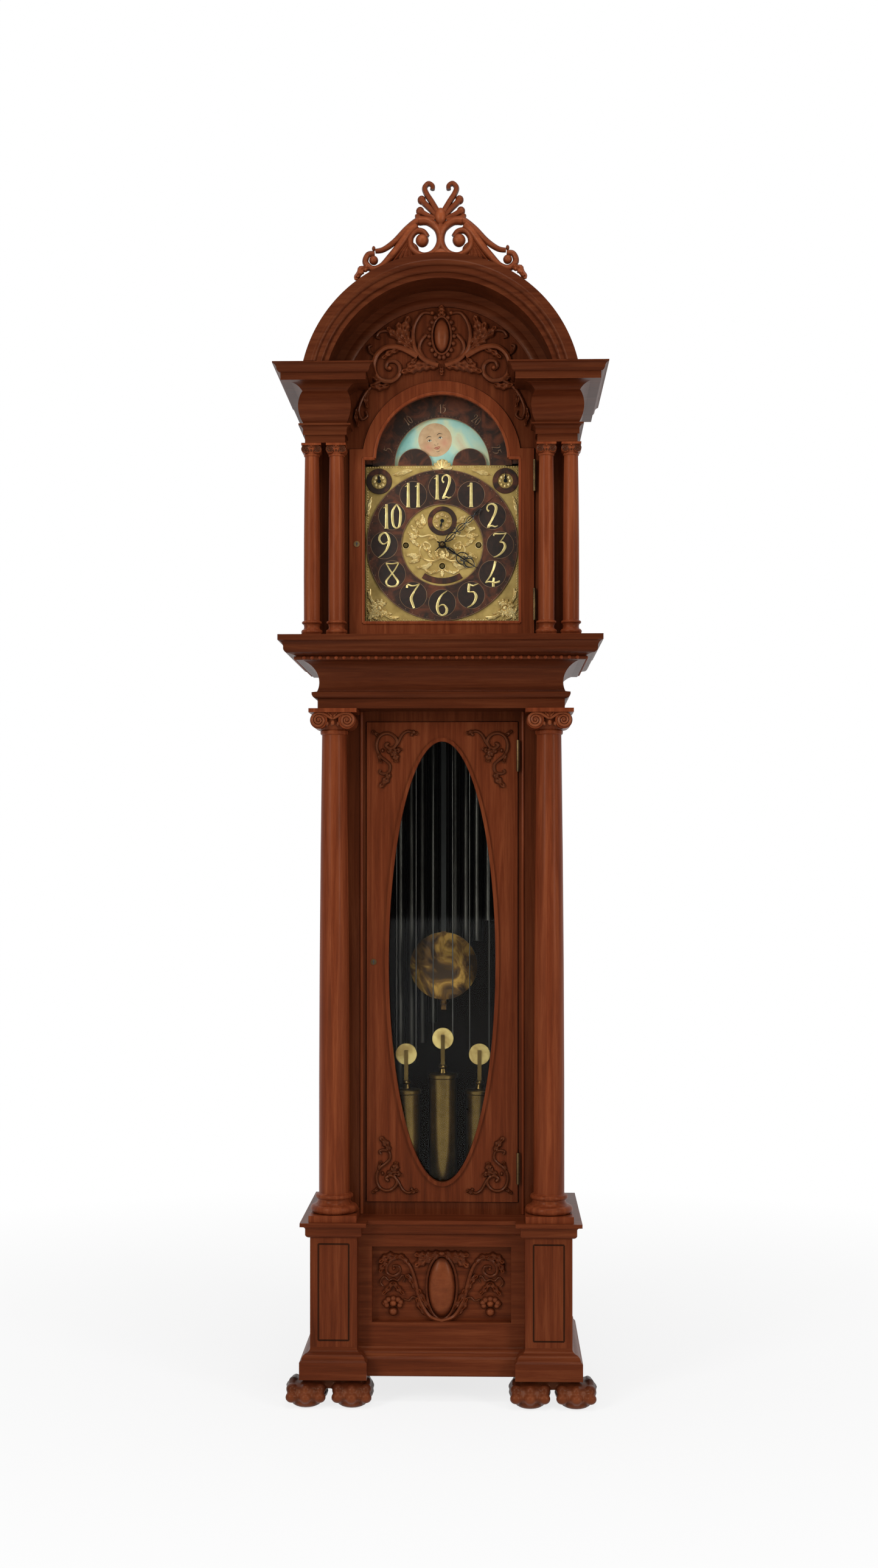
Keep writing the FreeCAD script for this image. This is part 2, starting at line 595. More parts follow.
publish(group("hood_boards", *both_sides(lambda sign, hand: box(
    f"hood_side_{hand}", span(sign, d.hood_side_inner, d.hood_side_inner + d.board_thick),
    (-d.hood_front, d.back_face), (hood_foot, entablature_foot)))), "hood_sides")
publish(cut(
    "hood_frame",
    padded("hood_frame_board", "XZ_Plane", [arched_outline(d.hood_side_inner, hood_foot)],
           d.hood_front_thick, y=-d.hood_front),
    padded("hood_frame_doorway", "XZ_Plane", [hood_door_outline(hood_foot, d.door_gap)],
           d.hood_front_thick, y=-d.hood_front)), "hood_front_frame")
back_foot_z = plinth_foot + d.floor_rise
back_head = arched_outline(d.hood_side_inner, hood_foot)
publish(padded("back", "XZ_Plane", [
    [(-d.case_half, back_foot_z), (d.case_half, back_foot_z), (d.case_half, hood_foot)] + back_head[1:]
    + [back_head[0], (-d.case_half, hood_foot)]], d.back_thick, y=back_inner), "back_board")

entablature_levels = [
    (ZERO, ZERO), (ZERO, d.frieze_foot * 0.4), (d.architrave_reach * 0.3, d.frieze_foot * 0.4),
    (d.architrave_reach * 0.3, d.frieze_foot * 0.72),
    (d.architrave_reach, d.frieze_foot * 0.9, -d.architrave_reach * 0.15),
    (d.architrave_reach, d.frieze_foot),
    (d.architrave_reach * 0.2, d.frieze_foot),
    (d.architrave_reach * 0.4, d.frieze_foot + d.frieze_height, d.frieze_swell)]
entablature_top = [
    (d.bed_reach, corona_foot, -d.bed_height * 0.2), (d.corona_reach, corona_foot),
    (d.corona_reach, crown_foot), (d.corona_reach + d.crown_step, crown_foot),
    ((d.corona_reach + d.crown_reach) / 2, crown_foot + d.crown_height * 0.45, d.crown_height * 0.08),
    (d.crown_reach, crown_foot + d.crown_height * 0.85, -d.crown_height * 0.08), (d.crown_reach, crown_top)]
entablature_profile = [(step[0], entablature_foot + step[1], *step[2:]) for step in entablature_levels]
entablature_blocks = both_sides(lambda sign, hand: cut(
    f"entablature_{hand}",
    moulded(f"entablature_{hand}_block", span(sign, d.block_inner, d.block_outer),
            (-d.pier_front, d.back_face), entablature_profile + entablature_top),
    box(f"entablature_{hand}_hollow", (-d.hood_side_inner, d.hood_side_inner), (-d.hood_front, d.back_face),
        (entablature_foot, crown_top))))
publish(group("entablature", *entablature_blocks), "hood_entablature")


def arch_ring(name, profile, y):
    """A moulded half ring about the arch centre, from (radius, depth) points, above the crown moulding."""
    ring = turned(name + "_turning", profile, ZERO, y, arch_centre, ALONG_Y)
    reach = d.arch_radius * 2
    return cut(name, ring, box(name + "_below", (-reach, reach),
                               (-reach, reach), (arch_centre - reach, crown_top)))


arch_inner = d.arch_radius - d.arch_width
arch_face = [
    (arch_inner, d.arch_depth), (arch_inner, d.arch_step), (arch_inner + d.arch_width * 0.22, d.arch_step),
    (arch_inner + d.arch_width * 0.34, d.arch_step * 0.4, d.arch_step * 0.2),
    (arch_inner + d.arch_width * 0.48, d.arch_step * 0.4),
    (arch_inner + d.arch_width * 0.72, ZERO, d.arch_step * 0.25), (d.arch_radius, ZERO),
    (d.arch_radius, d.arch_step * 1.4), (d.arch_radius - d.arch_step * 0.4, d.arch_step * 2.2),
    (d.arch_radius - d.arch_step * 0.4, d.arch_depth)]
arch_back = -d.arch_front + d.arch_depth
ring_depth = -d.hood_front - arch_back
ring_outer = arch_inner + d.arch_step * 0.25
ring_face = [
    (ring_outer - d.inner_ring_width, ring_depth), (ring_outer - d.inner_ring_width, ring_depth * 0.5),
    (ring_outer - d.inner_ring_width * 0.5, ring_depth * 0.2, ring_depth * 0.2), (ring_outer, ZERO),
    (ring_outer, ring_depth)]
publish(group("arch", arch_ring("archivolt", arch_face, -d.arch_front),
              arch_ring("inner_ring", ring_face, arch_back)), "hood_arch")
roof_inner = roof_radius - d.roof_thick
publish(arch_ring("roof", [(roof_inner, ZERO), (roof_radius, ZERO),
                           (roof_radius, d.back_face - arch_back), (roof_inner, d.back_face - arch_back)],
                  arch_back), "hood_roof")

tympanum_face = -d.hood_front
boss_z = hood_arch_centre + d.hood_arch_radius + d.arch_rise * 0.86
fan_x = d.hood_arch_radius * 0.64
publish(fuse(
    "tympanum_relief",
    half_ball("tympanum_boss", d.arch_step * 1.4, d.arch_step * 2.9, d.arch_step, ZERO, tympanum_face,
              boss_z),
    half_ball("tympanum_frame", d.arch_step * 3.6, d.arch_step * 3.2, d.arch_step * 0.5, ZERO, tympanum_face,
              boss_z - d.arch_step * 0.6),
    *scroll_pair("tympanum_scroll", tympanum_face, fan_x, boss_z - d.arch_step * 5, d.arch_step * 2.2,
                 d.arch_step * 0.8),
    *[half_ball(f"tympanum_leaf_{sign + 1}", d.arch_step * 4, d.arch_step * 1.7, d.arch_step * 0.6,
                fan_x * 0.55 * sign, tympanum_face, boss_z - d.arch_step * 2.2) for sign in (-1, 1)]),
    "tympanum_carving")


# Crest on the crown of the arch: a pair of scrolls, a plume between them, tails out to the end knobs
def crest_disc(name, radius, x, z, inner=None):
    disc = rod(name, radius, d.crest_thick, x, -d.crest_front, z, ALONG_Y)
    if inner is None:
        return disc
    hole = rod(name + "_eye", inner, d.crest_thick, x, -d.crest_front, z + (radius - inner) * 0.35, ALONG_Y)
    return cut(name + "_ring", disc, hole)


def crest_half(sign, hand):
    """One side of the crest: scroll, tail and end knob, foot rail along the arch."""
    scroll_z = arch_top + d.crest_volute_rise
    scroll_x = d.crest_volute_x * sign
    scroll = crest_disc(f"crest_scroll_{hand}", d.crest_volute_radius, scroll_x, scroll_z,
                        d.crest_volute_radius - d.crest_band * 0.8)
    eye = rod(f"crest_eye_{hand}", d.crest_eye_radius, d.crest_thick, scroll_x, -d.crest_front,
              scroll_z - d.crest_volute_radius + d.crest_band * 0.7 + d.crest_eye_radius, ALONG_Y)
    end_arch = arch_centre + root(d.arch_radius * d.arch_radius - d.crest_end_x * d.crest_end_x)
    knob = crest_disc(f"crest_knob_{hand}", d.crest_end_radius, d.crest_end_x * sign,
                      end_arch + d.crest_end_radius * 1.6)
    near = d.crest_volute_x + d.crest_volute_radius * 0.5
    far = d.crest_end_x
    high = scroll_z + d.crest_volute_radius * 0.75
    low = end_arch + d.crest_end_radius * 2.4
    tail = [(near, high - d.crest_band), (far, low - d.crest_band * 0.9, d.crest_band * 1.6),
            (far, low), (near, high, -d.crest_band * 1.6)]
    foot_far = d.crest_end_x + d.crest_end_radius * 2.2
    foot_arch = arch_centre + root(d.arch_radius * d.arch_radius - foot_far * foot_far)
    rail = [(ZERO, arch_top), (ZERO, arch_top + d.crest_band), (far, end_arch + d.crest_band * 0.9),
            (foot_far, foot_arch)]
    if sign > 0:
        rail = [rail[0], (foot_far, foot_arch, -chord_sag(foot_far)), rail[2], rail[1]]
    else:
        tail = [(-point[0], *point[1:]) for point in tail]
        tail = [tail[0][:2], (*tail[3][:2], d.crest_band * 1.6 * -1),
                tail[2][:2], (*tail[1][:2], d.crest_band * 1.6)]
        rail = [rail[0], rail[1], (-far, rail[2][1]), (-foot_far, foot_arch)]
        rail[0] = (*rail[0], -chord_sag(foot_far))
    band = padded(f"crest_tail_{hand}", "XZ_Plane", [tail], d.crest_thick, y=-d.crest_front)
    foot = padded(f"crest_rail_{hand}", "XZ_Plane", [rail], d.crest_thick, y=-d.crest_front)
    plume = crest_disc(f"crest_plume_{hand}", d.plume_radius, d.plume_x * sign,
                       arch_top + d.crest_height - d.plume_radius, d.plume_radius - d.crest_band * 0.6)
    return [scroll, eye, knob, band, foot, plume]


def chord_sag(x):
    """How far the arch stands above the straight line from its crown to the point at x."""
    drop = d.arch_radius - root(d.arch_radius * d.arch_radius - x * x)
    chord = root(x * x + drop * drop)
    return d.arch_radius - root(d.arch_radius * d.arch_radius - chord * chord / 4)


spear_foot = arch_top + d.crest_volute_rise + d.crest_volute_radius * 0.4
spear = padded("crest_spear", "XZ_Plane", [[
    (-d.crest_band, spear_foot), (d.crest_band, spear_foot),
    (d.plume_x, arch_top + d.crest_height - d.plume_radius),
    (-d.plume_x, arch_top + d.crest_height - d.plume_radius)]], d.crest_thick, y=-d.crest_front)
crest_parts = both_sides(crest_half)
publish(fuse("crest", *crest_parts[0], *crest_parts[1], spear), "hood_crest")


# Doors, their hinges and locks
UPRIGHT_OVAL = Rotation(Vector(1, 1, 1), -120)


def oval_plate(name, half_width, half_height, y, depth, z):
    """An upright oval plate facing the front."""
    curve = doc.addObject("Part::Ellipse", name + "_curve")
    tie(curve, "MajorRadius", half_height)
    tie(curve, "MinorRadius", half_width)
    place(curve, ZERO, y, z, UPRIGHT_OVAL)
    plate = doc.addObject("Part::Extrusion", name)
    plate.Base = curve
    plate.DirMode = "Custom"
    plate.Dir = Vector(0, 1, 0)
    tie(plate, "LengthFwd", depth)
    plate.Solid = True
    return plate


def hinge(name, edge, door_face, case_face, foot):
    """A butt hinge by its knuckles: outer two on the case, middle one with the pin on the door."""
    pin_x = edge + d.door_gap / 2
    pin_y = door_face - d.knuckle_radius - d.leaf_gap
    third = d.hinge_length / 3
    web = d.knuckle_radius / 2
    case_parts = []
    for number in (0, 2):
        low = foot + third * number
        high = low + third
        knuckle = rod(f"{name}_knuckle_{number}", d.knuckle_radius, third, pin_x, pin_y, low)
        leaf = box(f"{name}_leaf_{number}", (pin_x + web, pin_x + d.knuckle_radius), (pin_y, case_face),
                   (low, high))
        bore = rod(f"{name}_bore_{number}", d.hinge_pin_radius + d.hinge_fit, third, pin_x, pin_y, low)
        case_parts.append(cut(f"{name}_case_{number}", fuse(f"{name}_outer_{number}", knuckle, leaf), bore))
    low, high = foot + third + d.leaf_gap, foot + third * 2 - d.leaf_gap
    middle = rod(name + "_middle", d.knuckle_radius, high - low, pin_x, pin_y, low)
    leaf = box(name + "_door_leaf", (pin_x - d.knuckle_radius, pin_x - web), (pin_y, door_face), (low, high))
    pin = rod(name + "_pin", d.hinge_pin_radius, d.hinge_length, pin_x, pin_y, foot)
    return case_parts, fuse(name + "_door_half", middle, leaf, pin)


def lock(name, edge, middle, door_face, door_back, z):
    """A lock on the back of a door's left stile: hollow case, sliding bolt, keyhole plate in front."""
    half = d.lock_depth * 1.6
    left, right = -edge + d.lock_inset, -edge + d.lock_inset + half * 1.6
    slot_y = (door_back + d.lock_depth * 0.2, door_back + d.lock_depth * 0.8)
    slot_z = (z - d.lock_depth * 0.6, z + d.lock_depth * 0.6)
    case = cut(name + "_case", box(name + "_shell", (left, right), (door_back, door_back + d.lock_depth),
                                   (z - half, z + half)),
               box(name + "_slot", (left, right - d.lock_depth * 0.3), slot_y, slot_z))
    slack = d.lock_slack
    bolt = box(name + "_bolt", (left, right - d.lock_depth * 0.4), (slot_y[0] + slack, slot_y[1] - slack),
               (slot_z[0] + slack, slot_z[1] - slack))
    plate = cut(name + "_keyhole",
                rod(name + "_plate", d.lock_depth * 0.6, d.glass_thick * 0.3, middle, door_face, z, FORWARD),
                rod(name + "_key_bore", d.lock_depth * 0.17, d.glass_thick, middle, door_face, z, FORWARD))
    return case, plate, bolt


door_front = level("door_front", -d.waist_front - d.door_proud)
door_back = level("door_back", door_front + d.door_thick)
door_middle = level("door_middle", door_foot + d.door_height / 2)
glass_front = level("glass_front", door_front + d.glass_depth)
bead_outer = (d.light_half_width + d.bead_width, d.light_half_height + d.bead_width)
door_board = cut(
    "waist_door_board",
    box("waist_door_blank", (-d.door_half, d.door_half), (door_front, door_back), (door_foot, door_head)),
    oval_plate("waist_light", d.light_half_width, d.light_half_height, door_front, d.door_thick, door_middle),
    oval_plate("waist_rebate", d.light_half_width + d.glass_lap, d.light_half_height + d.glass_lap,
               glass_front, d.door_thick, door_middle))
door_bead = cut(
    "waist_door_bead",
    oval_plate("waist_bead_outer", *bead_outer, door_front - d.bead_proud, d.bead_proud, door_middle),
    oval_plate("waist_bead_inner", d.light_half_width, d.light_half_height, door_front - d.bead_proud,
               d.bead_proud, door_middle))
publish(fuse("waist_door", door_board, door_bead), "waist_door_frame")
glass_seat = d.glass_lap - d.air_gap
publish(oval_plate("waist_glass", d.light_half_width + glass_seat, d.light_half_height + glass_seat,
                   glass_front, d.glass_thick, door_middle), "waist_door_glass")


def corner_carving(sign, up):
    """A leaf spray in one corner of the trunk door: a scroll with a leaf along each edge."""
    name = f"spray_{sign + 1}_{up + 1}"
    edge = d.door_half - d.bead_width * 3.4
    corner_z = door_middle + (d.door_height / 2 - d.bead_width * 2.2) * up
    step = d.bead_width
    return fuse(
        name,
        half_ball(name + "_scroll", step * 2.4, step * 2.4, d.bead_proud * 1.4, (edge - step) * sign,
                  door_front,
                  corner_z - step * up),
        half_ball(name + "_along", step * 6, step * 1.5, d.bead_proud, (edge - step * 6) * sign, door_front,
                  corner_z + step * 0.4 * up),
        half_ball(name + "_down", step * 1.6, step * 7, d.bead_proud, (edge + step * 0.3) * sign, door_front,
                  corner_z - step * 7 * up))


publish(group("waist_sprays", *[corner_carving(sign, up) for sign in (-1, 1) for up in (-1, 1)]),
        "waist_door_carvings")

hood_door_back = level("hood_door_back", -d.hood_door_front + d.door_thick)
hood_glass_front = level("hood_glass_front", hood_door_back - d.glass_depth)
hood_light_foot = hood_door_foot + d.hood_rail


def hood_light(clear=ZERO):
    return arched_outline(d.hood_door_half - d.hood_stile, hood_light_foot - clear, clear,
                          hood_arch_centre + d.shoulder_lift, hood_arch_centre, d.hood_light_radius)


publish(cut(
    "hood_door",
    padded("hood_door_blank", "XZ_Plane", [hood_door_outline(hood_door_foot)], d.door_thick,
           y=-d.hood_door_front),
    padded("hood_door_light", "XZ_Plane", [hood_light()], d.door_thick, y=-d.hood_door_front),
    padded("hood_door_rebate", "XZ_Plane", [hood_light(d.glass_lap)], d.glass_depth, y=hood_glass_front)),
    "hood_door_frame")
publish(padded("hood_glass", "XZ_Plane", [hood_light(glass_seat)], d.glass_thick, y=hood_glass_front),
        "hood_door_glass")

hinge_inset = d.hinge_length * 0.58
hinge_feet = {"waist_low": door_foot + hinge_inset, "waist_high": door_head - hinge_inset - d.hinge_length,
              "hood_low": hood_door_foot + hinge_inset, "hood_high": hood_arch_centre - d.hinge_length}
waist_hinges = [hinge(name, d.door_half, door_front, -d.waist_front, hinge_feet[name])
                for name in ("waist_low", "waist_high")]
hood_hinges = [hinge(name, d.hood_door_half, -d.hood_door_front, -d.hood_front, hinge_feet[name])
               for name in ("hood_low", "hood_high")]
publish(group("hinge_leaves", *[part for halves in waist_hinges + hood_hinges for part in halves[0]]),
        "case_hinge_leaves")
waist_lock = lock("waist_lock", d.door_half, -d.door_half + d.hinge_length * 0.22, door_front, door_back,
                  door_middle)
hood_lock = lock("hood_lock", d.hood_door_half, -d.hood_door_half + d.hood_stile / 2, -d.hood_door_front,
                 hood_door_back, hood_door_foot + d.hood_door_shoulder / 2)
publish(group("waist_fittings", *waist_lock[:2], *[halves[1] for halves in waist_hinges]),
        "waist_door_fittings")
publish(group("hood_fittings", *hood_lock[:2], *[halves[1] for halves in hood_hinges]), "hood_door_fittings")
publish(waist_lock[2], "waist_lock_bolt")
publish(hood_lock[2], "hood_lock_bolt")


# Dial
def dial_rod(name, radius, x, z, low=-d.dial_front - d.dial_thick, high=-d.dial_front + d.dial_thick * 2):
    """A round tool or disc on the dial, from depth low to depth high."""
    return rod(name, radius, high - low, x, low, z, ALONG_Y)


def ring(name, outer, inner, x, z, low, high):
    return cut(name, dial_rod(name + "_disc", outer, x, z, low, high),
               dial_rod(name + "_hole", inner, x, z, low, high))


def upper_half(name, piece, centre):
    reach = d.dial_half * 2
    return cut(name, piece, box(name + "_below", (-reach, reach), (-d.back_face, d.back_face),
                                (centre - reach, centre)))


dial_face = -d.dial_front
dial_back = level("dial_back", dial_face + d.dial_thick)
ring_face_y = level("ring_face_y", dial_face - d.ring_thick)
seconds_z = level("seconds_z", dial_centre + d.seconds_rise)
small_z = level("small_z", dial_centre + d.small_rise)
winding = {"left": (-d.winding_x, dial_centre), "centre": (ZERO, dial_centre - d.winding_drop),
           "right": (d.winding_x, dial_centre)}
pipe_radius = d.arbor_radius * 1.7
window = cut(
    "moon_window", upper_half("moon_sector", dial_rod("moon_window_disc", d.moon_window, ZERO, moon_centre),
                              moon_centre),
    dial_rod("hump_left", d.hump_radius, -d.hump_x, moon_centre),
    dial_rod("hump_right", d.hump_radius, d.hump_x, moon_centre),
    dial_rod("moon_shell_seat", d.shell_radius, ZERO, moon_centre))
dial_holes = [dial_rod(f"winding_hole_{name}", d.winding_radius * 1.5, *spot) for name,
              spot in winding.items()]
dial_holes.append(dial_rod("centre_hole", pipe_radius + d.hand_fit, ZERO, dial_centre))
dial_holes.append(dial_rod("seconds_hole", d.arbor_radius + d.hand_fit, ZERO, seconds_z))
for sign in (-1, 1):
    dial_holes.append(dial_rod(f"small_hole_{sign + 1}", d.arbor_radius + d.pivot_fit, d.small_x * sign,
                               small_z))
moon_stud = rod("moon_stud", d.arbor_radius, d.moon_behind * 3, ZERO, dial_back, moon_centre, ALONG_Y)
plate = cut("dial_board", padded("dial_blank", "XZ_Plane", [arched_outline(
    d.dial_half, dial_centre - d.dial_bottom, ZERO, moon_centre + d.shoulder_lift, moon_centre,
    d.dial_arch_radius)],
    d.dial_thick, y=dial_face), window, *dial_holes)
publish(fuse("dial", plate, moon_stud), "dial_plate")
publish(ring("hour_circle", d.ring_outer, d.ring_inner, ZERO, dial_centre, ring_face_y, dial_face),
        "chapter_ring")
trim_face = dial_face - d.ring_thick * 0.7
trim = [ring("seconds_circle", d.seconds_radius, d.seconds_inner, ZERO, seconds_z, trim_face, dial_face),
        upper_half("arch_circle", ring("arch_circle_ring", d.dial_arch_radius - d.trim_margin, d.moon_window,
                                       ZERO, moon_centre,
                                       trim_face, dial_face), moon_centre),
        upper_half("moon_shell", half_ball("moon_shell_ball", d.shell_radius, d.shell_radius, d.ring_thick,
                                           ZERO,
                                           dial_face, moon_centre), moon_centre)]
for sign in (-1, 1):
    trim.append(ring(f"small_circle_{sign + 1}", d.small_radius, d.small_inner, d.small_x * sign, small_z,
                     trim_face, dial_face))
    corner = d.dial_half - d.small_radius * 0.75
    trim.append(half_ball(f"dial_corner_{sign + 1}", d.small_radius * 0.6, d.small_radius * 0.6, d.ring_thick,
                          corner * sign, dial_face, dial_centre - corner))
publish(group("dial_ornaments", *trim), "dial_trim")
moon_disc_y = dial_back + d.moon_behind
publish(cut("moon", rod("moon_plate", d.moon_disc_radius, d.moon_thick, ZERO, moon_disc_y, moon_centre,
                        ALONG_Y),
            rod("moon_bore", d.arbor_radius + d.pivot_fit, d.moon_thick, ZERO, moon_disc_y, moon_centre,
                ALONG_Y)),
        "moon_disc")


# Movement: arbors run along Y between the plates
front_out = level("front_out", -d.plate_front)
front_in = level("front_in", front_out + d.plate_thick)
rear_in = level("rear_in", front_in + d.plate_space)
rear_out = level("rear_out", rear_in + d.plate_thick)
plate_top = level("plate_top", seat_top + d.plate_height)
anchor_z = level("anchor_z", dial_centre + d.anchor_rise)
hang_z = level("hang_z", dial_centre + d.suspension_rise)
pendulum_y = d.pendulum_back

CENTRE_TEETH, THIRD_LEAVES, THIRD_TEETH, ESCAPE_LEAVES, ESCAPE_TEETH = 64, 8, 60, 8, 30
CANNON_TEETH, MINUTE_TEETH, MINUTE_LEAVES, HOUR_TEETH = 12, 36, 10, 40
GREAT_TEETH = 60
# tooth proportions in modules; the tips stay short, so that they pass clear of the mating arbor
TOOTH_ROOT, TOOTH_RISE, TOOTH_FOOT_HALF, TOOTH_TIP_HALF = 1.1, 0.4, 0.58, 0.18
centre_reach = d.centre_module * ((CENTRE_TEETH + THIRD_LEAVES) / 2)
third_reach = d.third_module * ((THIRD_TEETH + ESCAPE_LEAVES) / 2)
third_up = level("third_up", (centre_reach * centre_reach - third_reach * third_reach
                              + d.seconds_rise * d.seconds_rise) / (d.seconds_rise * 2))
third_x = level("third_x", root(centre_reach * centre_reach - third_up * third_up))
third_z = level("third_z", dial_centre + third_up)
minute_x = level("minute_x", -d.motion_distance)


def gear(name, teeth, module, face, x, y, z, heading):
    """A wheel with one tooth turned to the heading, in degrees clockwise from upright."""
    pitch = module * (teeth / 2)
    foot = pitch - module * TOOTH_ROOT
    tip = pitch + module * TOOTH_RISE
    sunk = module * TOOTH_RISE
    body = doc.addObject("PartDesign::Body", name)
    blank = body.newObject("PartDesign::Pad", name + "_blank")
    blank.Profile = sketch_in(body, "XZ_Plane", [], [(ZERO, ZERO, foot)])
    tooth = body.newObject("PartDesign::Pad", name + "_tooth")
    tooth.Profile = sketch_in(body, "XZ_Plane", [[
        (-module * TOOTH_FOOT_HALF, foot - sunk), (module * TOOTH_FOOT_HALF, foot - sunk),
        (module * TOOTH_TIP_HALF, tip), (-module * TOOTH_TIP_HALF, tip)]])
    for pad in (blank, tooth):
        tie(pad, "Length", face)
        pad.Reversed = True
    pattern = body.newObject("PartDesign::PolarPattern", name + "_teeth")
    pattern.Originals = [tooth]
    pattern.Axis = (tooth.Profile[0], ["N_Axis"])
    pattern.Angle = 360
    pattern.Occurrences = teeth
    body.Tip = pattern
    return place(body, x, y, z, Rotation(Vector(0, 1, 0), heading))


def heading(start, end):
    """Compass direction, clockwise from upright, from one (x, z) centre to another."""
    return math.degrees(math.atan2((as_size(end[0]) - start[0]).value, (as_size(end[1]) - start[1]).value))


def meshed(name, driver, driven, module, face, y):
    """Two wheels in mesh: a tooth of the first stands in a gap of the second."""
    (teeth, spot, part), (leaves, mate, mate_part) = driver, driven
    line = heading(spot, mate)
    return (gear(f"{name}_{part}", teeth, module, face, spot[0], y, spot[1], line),
            gear(f"{name}_{mate_part}", leaves, module, face, mate[0], y, mate[1], line + 180 + 180 / leaves))


def arbor(name, spot, low, high, radius=d.arbor_radius):
    return rod(name, radius, high - low, spot[0], low, spot[1], ALONG_Y)


centre_spot, third_spot, seconds_spot = (ZERO, dial_centre), (third_x, third_z), (ZERO, seconds_z)
minute_spot = (minute_x, dial_centre)
wheel_face = d.plate_thick * 0.5
centre_layer = rear_in - d.plate_thick * 1.5
third_layer = front_in + d.plate_space * 0.4
escape_layer = front_in + d.plate_space * 0.68
motion_layer = front_out - d.plate_thick * 1.5
hour_layer = motion_layer - d.plate_thick * 1.4
centre_wheel, third_pinion = meshed("going", (CENTRE_TEETH, centre_spot, "centre"),
                                    (THIRD_LEAVES, third_spot, "third_pinion"), d.centre_module, wheel_face,
                                    centre_layer)
third_wheel, escape_pinion = meshed("train", (THIRD_TEETH, third_spot, "third"),
                                    (ESCAPE_LEAVES, seconds_spot, "escape_pinion"), d.third_module,
                                    wheel_face,
                                    third_layer)
cannon, minute_wheel = meshed("motion", (CANNON_TEETH, centre_spot, "cannon"),
                              (MINUTE_TEETH, minute_spot, "minute"),
                              d.motion_distance / ((CANNON_TEETH + MINUTE_TEETH) / 2), wheel_face * 1.5,
                              motion_layer)
hour_wheel, minute_pinion = meshed("hours", (HOUR_TEETH, centre_spot, "hour"),
                                   (MINUTE_LEAVES, minute_spot, "minute_pinion"),
                                   d.motion_distance / ((HOUR_TEETH + MINUTE_LEAVES) / 2), wheel_face * 1.5,
                                   hour_layer)
seconds_y = ring_face_y - d.hand_fit
hour_y = seconds_y - d.hand_step
minute_y = hour_y - d.hand_step


def hand(name, length, width, spot, y, angle):
    """A pierced-look blade: tail, swelling shoulder and fine point, turned to its rest angle."""
    body = padded(name, "XZ_Plane", [[
        (-width * 0.4, -length * 0.14), (width * 0.4, -length * 0.14), (width * 0.45, length * 0.2),
        (width, length * 0.45), (width * 0.35, length * 0.66),
        (width * 0.12, length), (-width * 0.12, length),
        (-width * 0.35, length * 0.66), (-width, length * 0.45), (-width * 0.45, length * 0.2)]],
        d.hand_thick, x=spot[0], y=y - d.hand_thick, z=spot[1])
    body.Placement = Placement(body.Placement.Base, Rotation(Vector(0, 1, 0), angle.value))
    tie(body, "Placement.Rotation.Angle", angle)
    return body


def hub(name, radius, spot, y):
    return arbor(name, spot, y - d.hand_thick, y, radius)


publish(fuse(
    "minute_pointer",
    hand("minute_blade", d.minute_length, d.arbor_radius * 2.6, centre_spot, minute_y, d.minute_angle),
    hub("minute_hub", pipe_radius * 1.3, centre_spot, minute_y)), "minute_hand")
publish(fuse("centre_train", centre_wheel, cannon, arbor("centre_arbor", centre_spot, minute_y, rear_out),
             arbor("centre_pinion", centre_spot, front_in + wheel_face, front_in + wheel_face * 3,
                   d.arbor_radius * 1.8)), "centre_wheel")
hour_bore = arbor("hour_bore", centre_spot, minute_y, front_out, d.arbor_radius + d.pivot_fit)
publish(cut("hour_pointer", fuse(
    "hour_solid", hand("hour_blade", d.hour_length, d.arbor_radius * 3, centre_spot, hour_y, d.hour_angle),
    hub("hour_hub", pipe_radius * 1.4, centre_spot, hour_y), hour_wheel,
    arbor("hour_pipe", centre_spot, hour_y, hour_layer, pipe_radius)), hour_bore), "hour_hand")
escape_module = d.escape_radius / (ESCAPE_TEETH / 2 + TOOTH_RISE)
escape_wheel = gear("escape", ESCAPE_TEETH, escape_module, wheel_face, ZERO, escape_layer, seconds_z, 0)
publish(fuse(
    "seconds_pointer",
    hand("seconds_blade", d.seconds_length, d.arbor_radius * 0.8, seconds_spot, seconds_y, d.seconds_angle),
    hub("seconds_hub", d.arbor_radius * 1.5, seconds_spot, seconds_y), escape_wheel, escape_pinion,
    arbor("seconds_arbor", seconds_spot, seconds_y, rear_out)), "seconds_hand")
publish(fuse("third_train", third_wheel, third_pinion, arbor("third_arbor", third_spot, front_out, rear_out)),
        "third_wheel")
publish(fuse("minute_train", minute_wheel, minute_pinion,
             arbor("minute_arbor", minute_spot, hour_layer - d.plate_thick, front_in)), "minute_wheel")
for sign, hand_name in ((-1, "left"), (1, "right")):
    spot = (d.small_x * sign, small_z)
    publish(fuse(f"small_{hand_name}", hand(f"small_{hand_name}_blade", d.small_hand_length, d.arbor_radius,
                                            spot,
                                            trim_face - d.hand_fit, as_size(0)),
                 hub(f"small_{hand_name}_hub", d.arbor_radius * 1.6, spot, trim_face - d.hand_fit),
                 arbor(f"small_{hand_name}_arbor", spot, trim_face - d.hand_fit, dial_back + d.moon_behind)),
            f"{hand_name}_dial_hand")


